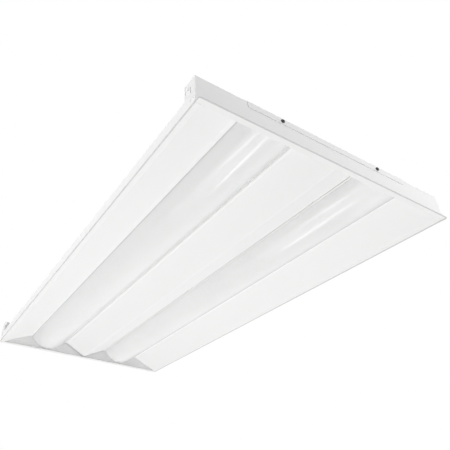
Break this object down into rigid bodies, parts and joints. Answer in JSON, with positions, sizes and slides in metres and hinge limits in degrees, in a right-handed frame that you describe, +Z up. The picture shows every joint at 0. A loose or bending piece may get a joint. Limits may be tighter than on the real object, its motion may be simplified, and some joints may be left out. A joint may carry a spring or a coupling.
{
  "type": "recessed troffer light",
  "caption": "White lay-in ceiling troffer with twin half-round opal lenses, a swing-down centre wiring cover and an LED driver",
  "frame": {"origin": "Centre of the face, at the level of the flange's underside, which lies on the ceiling grid or on a floor.", "axes": "X across the width, Y along the length, Z up into the ceiling. The light shines towards -Z."},
  "size_m": [0.6046, 1.213, 0.0653],
  "materials": {
    "body_white": "baked white powder coat, slight sheen",
    "reflector_white": "matte high-reflectance white coat",
    "opal_lens": "milky opal acrylic, glossy outside",
    "zinc_steel": "bright zinc plate",
    "spring_steel": "tempered blued strip",
    "green_screw": "green dyed zinc plate",
    "dark_screw": "black oxide with a light oil",
    "board_white": "white solder mask",
    "led_phosphor": "yellow phosphor in clear silicone",
    "plug_white": "moulded nylon",
    "driver_case": "white coated steel case",
    "circuit_green": "green solder mask",
    "winding_tape": "yellow winding tape over a dark core",
    "capacitor_sleeve": "black shrink sleeve",
    "lead_black": "black insulated wire",
    "lead_grey": "grey insulated wire pair",
    "lead_green": "green insulated ground wire",
    "grommet_rubber": "black rubber"
  },
  "bodies": {
    "housing": {"access_lock_screw": "zinc_steel", "access_pivot_screw": "zinc_steel", "back_pan": "body_white", "board_connectors": "plug_white", "board_jumpers": "lead_grey", "board_screws": "zinc_steel", "bracket_rivets": "body_white", "center_rail_left": "body_white", "center_rail_right": "body_white", "clip_brackets": "zinc_steel", "clip_pivots": "zinc_steel", "corner_rivets": "body_white", "cover_hinge_pins": "zinc_steel", "cover_latch_springs": "spring_steel", "diffuser_left": "opal_lens", "diffuser_right": "opal_lens", "driver_base": "driver_case", "driver_capacitors": "capacitor_sleeve", "driver_circuit_board": "circuit_green", "driver_lid": "driver_case", "driver_screws": "zinc_steel", "driver_terminals": "plug_white", "driver_transformer": "winding_tape", "end_plate_far": "body_white", "end_plate_near": "body_white", "end_screws_far": "dark_screw", "end_screws_near": "dark_screw", "ground_lead": "lead_green", "ground_screw": "green_screw", "input_leads": "lead_black", "junction_block": "plug_white", "junction_screw": "zinc_steel", "lead_grommets": "grommet_rubber", "led_board_left_far": "board_white", "led_board_left_near": "board_white", "led_board_right_far": "board_white", "led_board_right_near": "board_white", "leds_left_far": "led_phosphor", "leds_left_near": "led_phosphor", "leds_right_far": "led_phosphor", "leds_right_near": "led_phosphor", "output_lead_left": "lead_grey", "output_lead_right": "lead_grey", "pan_rivets": "body_white", "rail_rivets": "body_white", "side_reflector_left": "reflector_white", "side_reflector_right": "reflector_white"},
    "center_cover": {"center_cover": "reflector_white"},
    "access_plate": {"access_plate": "zinc_steel"},
    "clip_near_left": {"grid_clip_near_left": "zinc_steel"},
    "clip_near_right": {"grid_clip_near_right": "zinc_steel"},
    "clip_far_left": {"grid_clip_far_left": "zinc_steel"},
    "clip_far_right": {"grid_clip_far_right": "zinc_steel"}
  },
  "joints": [
    {"name": "center_cover_hinge", "type": "hinge", "parent": "housing", "child": "center_cover", "pos_m": [0.0732, 0, 0.0399], "axis": [0, -1, 0], "range_deg": [0, 80]},
    {"name": "access_plate_pivot", "type": "hinge", "parent": "housing", "child": "access_plate", "pos_m": [0, 0.425, 0.0616], "axis": [0, 0, 1], "range_deg": [0, 90]},
    {"name": "clip_near_left_pivot", "type": "hinge", "parent": "housing", "child": "clip_near_left", "pos_m": [-0.293, -0.5705, 0.0435], "axis": [0, -1, 0], "range_deg": [0, 90]},
    {"name": "clip_near_right_pivot", "type": "hinge", "parent": "housing", "child": "clip_near_right", "pos_m": [0.293, -0.5705, 0.0435], "axis": [0, 1, 0], "range_deg": [0, 90]},
    {"name": "clip_far_left_pivot", "type": "hinge", "parent": "housing", "child": "clip_far_left", "pos_m": [-0.293, 0.5705, 0.0435], "axis": [0, -1, 0], "range_deg": [0, 90]},
    {"name": "clip_far_right_pivot", "type": "hinge", "parent": "housing", "child": "clip_far_right", "pos_m": [0.293, 0.5705, 0.0435], "axis": [0, 1, 0], "range_deg": [0, 90]}
  ]
}
